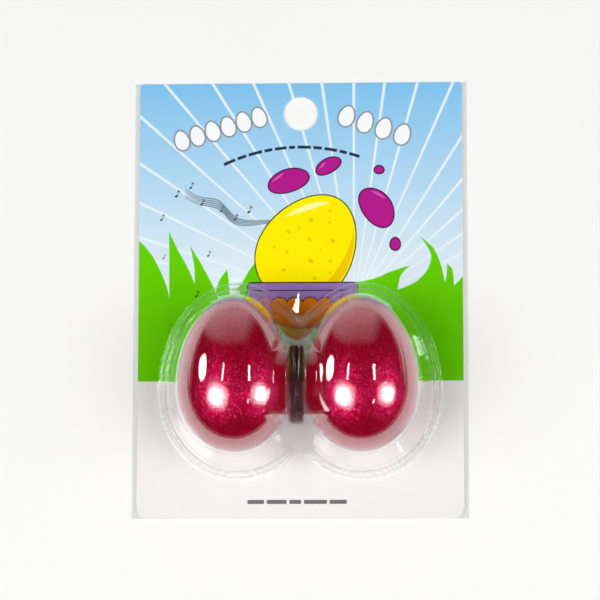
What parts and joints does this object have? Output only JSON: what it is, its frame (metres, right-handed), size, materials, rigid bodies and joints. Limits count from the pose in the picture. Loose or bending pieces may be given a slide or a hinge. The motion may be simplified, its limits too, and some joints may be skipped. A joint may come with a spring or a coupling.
{
  "type": "egg shaker",
  "caption": "Egg-shaped hand shakers filled with loose steel shot, lying in a clear domed slide blister in front of a printed backing card with a hang hole.",
  "frame": {"origin": "centre of the pack's back, on the plane it rests on when it lies flat", "axes": "+X to the right seen from the front, +Y along the card to the hang-hole end, +Z out of the front through the domes"},
  "size_m": [0.1254, 0.165, 0.0445],
  "materials": {
    "clear_film": "clear gloss",
    "card": "printed board",
    "pearl_shell": "crimson pearl gloss",
    "steel_shot": "plain steel"
  },
  "bodies": {
    "blister": {"clear_blister": "clear_film"},
    "card": {"backing_card": "card"},
    "left_egg": {"left_egg_pointed_shell": "pearl_shell", "left_egg_blunt_shell": "pearl_shell"},
    "left_shot_1": {"left_shot_row_1": "steel_shot"},
    "left_shot_2": {"left_shot_row_2": "steel_shot"},
    "left_shot_3": {"left_shot_row_3": "steel_shot"},
    "left_shot_4": {"left_shot_row_4": "steel_shot"},
    "left_shot_5": {"left_shot_row_5": "steel_shot"},
    "left_shot_6": {"left_shot_row_6": "steel_shot"},
    "left_shot_7": {"left_shot_row_7": "steel_shot"},
    "left_shot_8": {"left_shot_row_8": "steel_shot"},
    "left_shot_9": {"left_shot_row_9": "steel_shot"},
    "right_egg": {"right_egg_pointed_shell": "pearl_shell", "right_egg_blunt_shell": "pearl_shell"},
    "right_shot_1": {"right_shot_row_1": "steel_shot"},
    "right_shot_2": {"right_shot_row_2": "steel_shot"},
    "right_shot_3": {"right_shot_row_3": "steel_shot"},
    "right_shot_4": {"right_shot_row_4": "steel_shot"},
    "right_shot_5": {"right_shot_row_5": "steel_shot"},
    "right_shot_6": {"right_shot_row_6": "steel_shot"},
    "right_shot_7": {"right_shot_row_7": "steel_shot"},
    "right_shot_8": {"right_shot_row_8": "steel_shot"},
    "right_shot_9": {"right_shot_row_9": "steel_shot"}
  },
  "joints": [
    {"name": "card_slide", "type": "slide", "parent": "blister", "child": "card", "axis": [0, 1, 0], "range_m": [0, 0.165]},
    {"name": "left_egg_spin", "type": "hinge", "parent": "blister", "child": "left_egg", "pos_m": [-0.0233, -0.036, 0.02215], "axis": [0, 1, 0], "continuous": true},
    {"name": "left_shot_1_throw", "type": "slide", "parent": "left_egg", "child": "left_shot_1", "axis": [0, 0, 1], "range_m": [0, 0.02317]},
    {"name": "left_shot_2_throw", "type": "slide", "parent": "left_egg", "child": "left_shot_2", "axis": [0, 0, 1], "range_m": [0, 0.02439]},
    {"name": "left_shot_3_throw", "type": "slide", "parent": "left_egg", "child": "left_shot_3", "axis": [0, 0, 1], "range_m": [0, 0.02761]},
    {"name": "left_shot_4_throw", "type": "slide", "parent": "left_egg", "child": "left_shot_4", "axis": [0, 0, 1], "range_m": [0, 0.0286]},
    {"name": "left_shot_5_throw", "type": "slide", "parent": "left_egg", "child": "left_shot_5", "axis": [0, 0, 1], "range_m": [0, 0.02817]},
    {"name": "left_shot_6_throw", "type": "slide", "parent": "left_egg", "child": "left_shot_6", "axis": [0, 0, 1], "range_m": [0, 0.02683]},
    {"name": "left_shot_7_throw", "type": "slide", "parent": "left_egg", "child": "left_shot_7", "axis": [0, 0, 1], "range_m": [0, 0.02444]},
    {"name": "left_shot_8_throw", "type": "slide", "parent": "left_egg", "child": "left_shot_8", "axis": [0, 0, 1], "range_m": [0, 0.02065]},
    {"name": "left_shot_9_throw", "type": "slide", "parent": "left_egg", "child": "left_shot_9", "axis": [0, 0, 1], "range_m": [0, 0.0207]},
    {"name": "right_egg_spin", "type": "hinge", "parent": "blister", "child": "right_egg", "pos_m": [0.0233, -0.036, 0.02215], "axis": [0, 1, 0], "continuous": true},
    {"name": "right_shot_1_throw", "type": "slide", "parent": "right_egg", "child": "right_shot_1", "axis": [0, 0, 1], "range_m": [0, 0.02317]},
    {"name": "right_shot_2_throw", "type": "slide", "parent": "right_egg", "child": "right_shot_2", "axis": [0, 0, 1], "range_m": [0, 0.02439]},
    {"name": "right_shot_3_throw", "type": "slide", "parent": "right_egg", "child": "right_shot_3", "axis": [0, 0, 1], "range_m": [0, 0.02761]},
    {"name": "right_shot_4_throw", "type": "slide", "parent": "right_egg", "child": "right_shot_4", "axis": [0, 0, 1], "range_m": [0, 0.0286]},
    {"name": "right_shot_5_throw", "type": "slide", "parent": "right_egg", "child": "right_shot_5", "axis": [0, 0, 1], "range_m": [0, 0.02817]},
    {"name": "right_shot_6_throw", "type": "slide", "parent": "right_egg", "child": "right_shot_6", "axis": [0, 0, 1], "range_m": [0, 0.02683]},
    {"name": "right_shot_7_throw", "type": "slide", "parent": "right_egg", "child": "right_shot_7", "axis": [0, 0, 1], "range_m": [0, 0.02444]},
    {"name": "right_shot_8_throw", "type": "slide", "parent": "right_egg", "child": "right_shot_8", "axis": [0, 0, 1], "range_m": [0, 0.02065]},
    {"name": "right_shot_9_throw", "type": "slide", "parent": "right_egg", "child": "right_shot_9", "axis": [0, 0, 1], "range_m": [0, 0.0207]}
  ]
}
